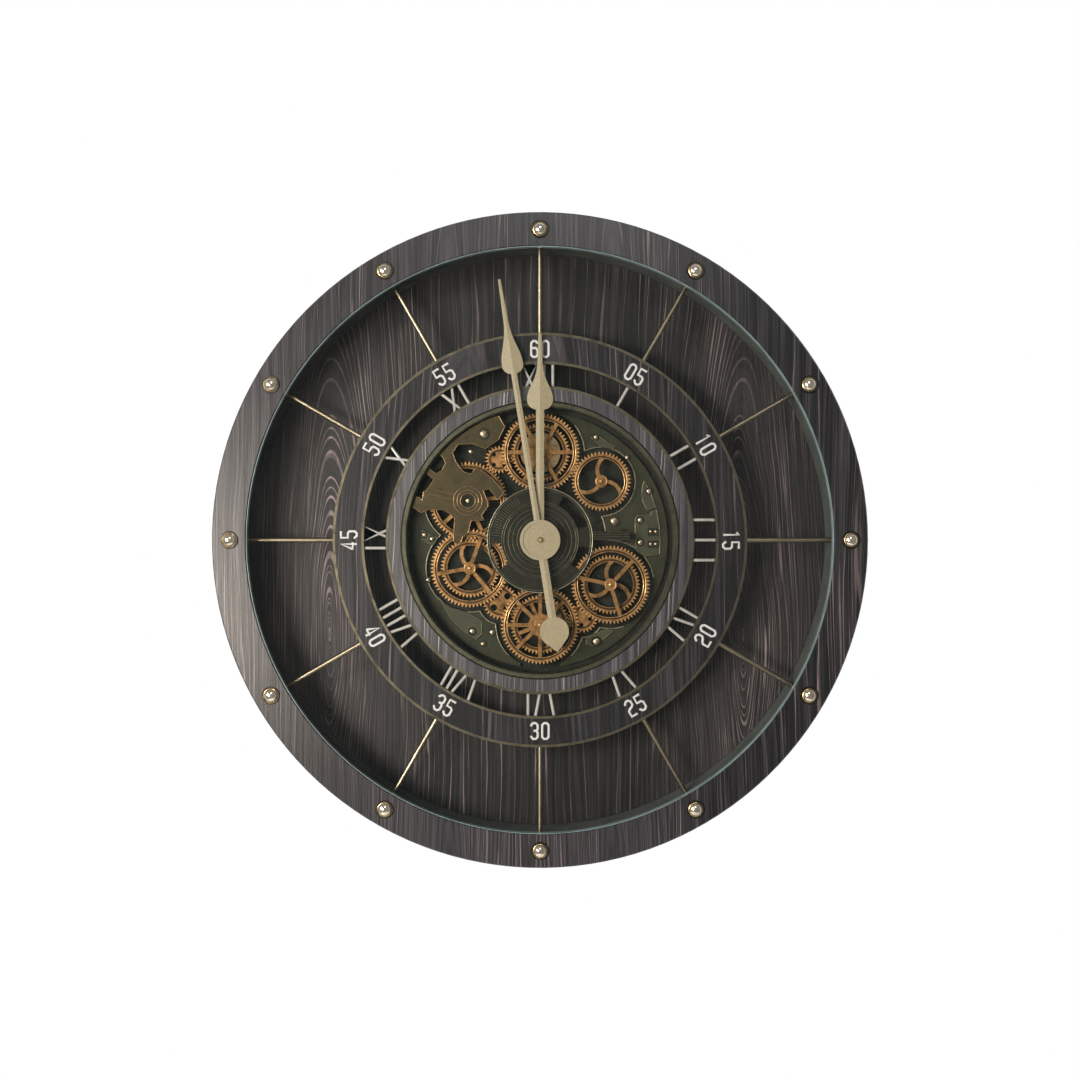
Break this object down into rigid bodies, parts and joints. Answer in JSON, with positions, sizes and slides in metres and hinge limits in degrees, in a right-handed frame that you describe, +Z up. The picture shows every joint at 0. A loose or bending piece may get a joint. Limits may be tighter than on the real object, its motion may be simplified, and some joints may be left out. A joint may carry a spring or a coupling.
{
  "type": "wall clock",
  "caption": "Round glazed wall clock with a dark wood-grain rim, skeleton dial rings, spade hands and an open train of meshing copper gears that a small motor turns.",
  "frame": {"origin": "on the clock's axis at the wall plane, where the rear flange rests on the wall", "axes": "+Z up, the dial faces -Y and +Y goes into the wall; +X is right for someone who faces the clock"},
  "size_m": [0.7999, 0.0951, 0.8],
  "materials": {
    "wood": "semi-gloss dark wood-grain print on board",
    "panel_wood": "matt dark wood-grain print on board",
    "ring_edge": "antique olive bronze",
    "stud": "polished",
    "washer": "dark bronze",
    "glass": "clear",
    "gasket": "matt black",
    "drum": "satin black",
    "steel": "plain",
    "rod": "antique nickel",
    "numeral": "satin silver",
    "bezel": "gunmetal",
    "housing": "black",
    "base": "satin black",
    "cover": "olive gunmetal",
    "spider": "satin black",
    "copper": "antique copper",
    "barrel": "polished steel",
    "jewel": "satin",
    "hand": "champagne",
    "plastic": "black",
    "cell": "plain grey jacket",
    "switch": "white"
  },
  "bodies": {
    "case": {"rim_ring": "wood", "rim_studs": "stud", "rim_stud_washers": "washer", "glass_pane": "glass", "glass_gasket": "gasket", "case_drum": "drum", "rim_carrier": "drum", "back_panel": "panel_wood", "hanger_plate": "steel", "spoke_rods": "rod", "minute_ring": "wood", "minute_ring_outer_edge": "ring_edge", "minute_ring_inner_edge": "ring_edge", "hour_numerals": "numeral", "inner_ring": "wood", "inner_ring_edge": "ring_edge", "movement_bezel": "bezel", "gear_housing": "housing", "base_plate": "base", "cover_plates": "cover", "gear_bridge": "cover", "bridge_jewel": "jewel", "center_spider": "spider", "quartz_movement": "plastic", "movement_cell": "cell", "movement_nut": "steel", "gear_motor": "plastic", "battery_box": "plastic", "battery_cells": "cell"},
    "top_train": {"top_gear": "copper", "top_gear_rear_wheel": "copper", "spring_barrel": "barrel"},
    "right_upper_wheel": {"right_upper_gear": "copper"},
    "right_lower_train": {"right_lower_gear": "copper", "right_lower_gear_rear_wheel": "copper"},
    "bottom_train": {"bottom_gear": "copper", "bottom_gear_rear_wheel": "copper", "motor_shaft": "steel"},
    "left_train": {"left_gear": "copper", "left_gear_rear_wheel": "copper"},
    "bridge_wheel": {"bridge_gear": "copper"},
    "upper_idler_wheel": {"upper_idler": "copper"},
    "left_idler_wheel": {"left_idler": "copper"},
    "right_idler_wheel": {"right_idler": "copper"},
    "minute_body": {"minute_hand": "hand", "minute_arbor": "steel", "hand_nut": "jewel", "set_knob": "plastic"},
    "hour_body": {"hour_hand": "hand", "hour_pipe": "steel"},
    "lid_body": {"battery_lid": "plastic"},
    "switch_body": {"power_switch": "switch"}
  },
  "joints": [
    {"name": "bottom_wheel_spin", "type": "hinge", "parent": "case", "child": "bottom_train", "pos_m": [0, -0.042, -0.106], "axis": [0, -1, 0], "continuous": true},
    {"name": "left_idler_spin", "type": "hinge", "parent": "case", "child": "left_idler_wheel", "pos_m": [-0.04936, -0.042, -0.0775], "axis": [0, -1, 0], "continuous": true},
    {"name": "left_wheel_spin", "type": "hinge", "parent": "case", "child": "left_train", "pos_m": [-0.0875, -0.042, -0.03514], "axis": [0, -1, 0], "continuous": true},
    {"name": "bridge_wheel_spin", "type": "hinge", "parent": "case", "child": "bridge_wheel", "pos_m": [-0.0897, -0.042, 0.04883], "axis": [0, -1, 0], "continuous": true},
    {"name": "upper_idler_spin", "type": "hinge", "parent": "case", "child": "upper_idler_wheel", "pos_m": [-0.05125, -0.042, 0.10061], "axis": [0, -1, 0], "continuous": true},
    {"name": "top_wheel_spin", "type": "hinge", "parent": "case", "child": "top_train", "pos_m": [0.00053, -0.042, 0.10928], "axis": [0, -1, 0], "continuous": true},
    {"name": "right_upper_wheel_spin", "type": "hinge", "parent": "case", "child": "right_upper_wheel", "pos_m": [0.07641, -0.042, 0.07325], "axis": [0, -1, 0], "continuous": true},
    {"name": "right_idler_spin", "type": "hinge", "parent": "case", "child": "right_idler_wheel", "pos_m": [0.05326, -0.042, -0.09709], "axis": [0, -1, 0], "continuous": true},
    {"name": "right_lower_wheel_spin", "type": "hinge", "parent": "case", "child": "right_lower_train", "pos_m": [0.08797, -0.042, -0.05572], "axis": [0, -1, 0], "continuous": true},
    {"name": "minute_hand_spin", "type": "hinge", "parent": "case", "child": "minute_body", "pos_m": [0, -0.042, 0], "axis": [0, 1, 0], "continuous": true},
    {"name": "hour_hand_spin", "type": "hinge", "parent": "case", "child": "hour_body", "pos_m": [0, -0.042, 0], "axis": [0, 1, 0], "continuous": true},
    {"name": "battery_lid_slide", "type": "slide", "parent": "case", "child": "lid_body", "axis": [0, 0, 1], "range_m": [0, 0.03]},
    {"name": "power_switch_slide", "type": "slide", "parent": "case", "child": "switch_body", "axis": [1, 0, 0], "range_m": [0, 0.004]}
  ],
  "couplings": [
    {"joint": "left_idler_spin", "follows": "bottom_wheel_spin", "ratio": -1.7143},
    {"joint": "left_wheel_spin", "follows": "bottom_wheel_spin", "ratio": 1},
    {"joint": "bridge_wheel_spin", "follows": "bottom_wheel_spin", "ratio": -0.75},
    {"joint": "upper_idler_spin", "follows": "bottom_wheel_spin", "ratio": 2.1818},
    {"joint": "top_wheel_spin", "follows": "bottom_wheel_spin", "ratio": -1},
    {"joint": "right_upper_wheel_spin", "follows": "bottom_wheel_spin", "ratio": 1.3333},
    {"joint": "right_idler_spin", "follows": "bottom_wheel_spin", "ratio": -2},
    {"joint": "right_lower_wheel_spin", "follows": "bottom_wheel_spin", "ratio": 1},
    {"joint": "hour_hand_spin", "follows": "minute_hand_spin", "ratio": 0.083333}
  ]
}
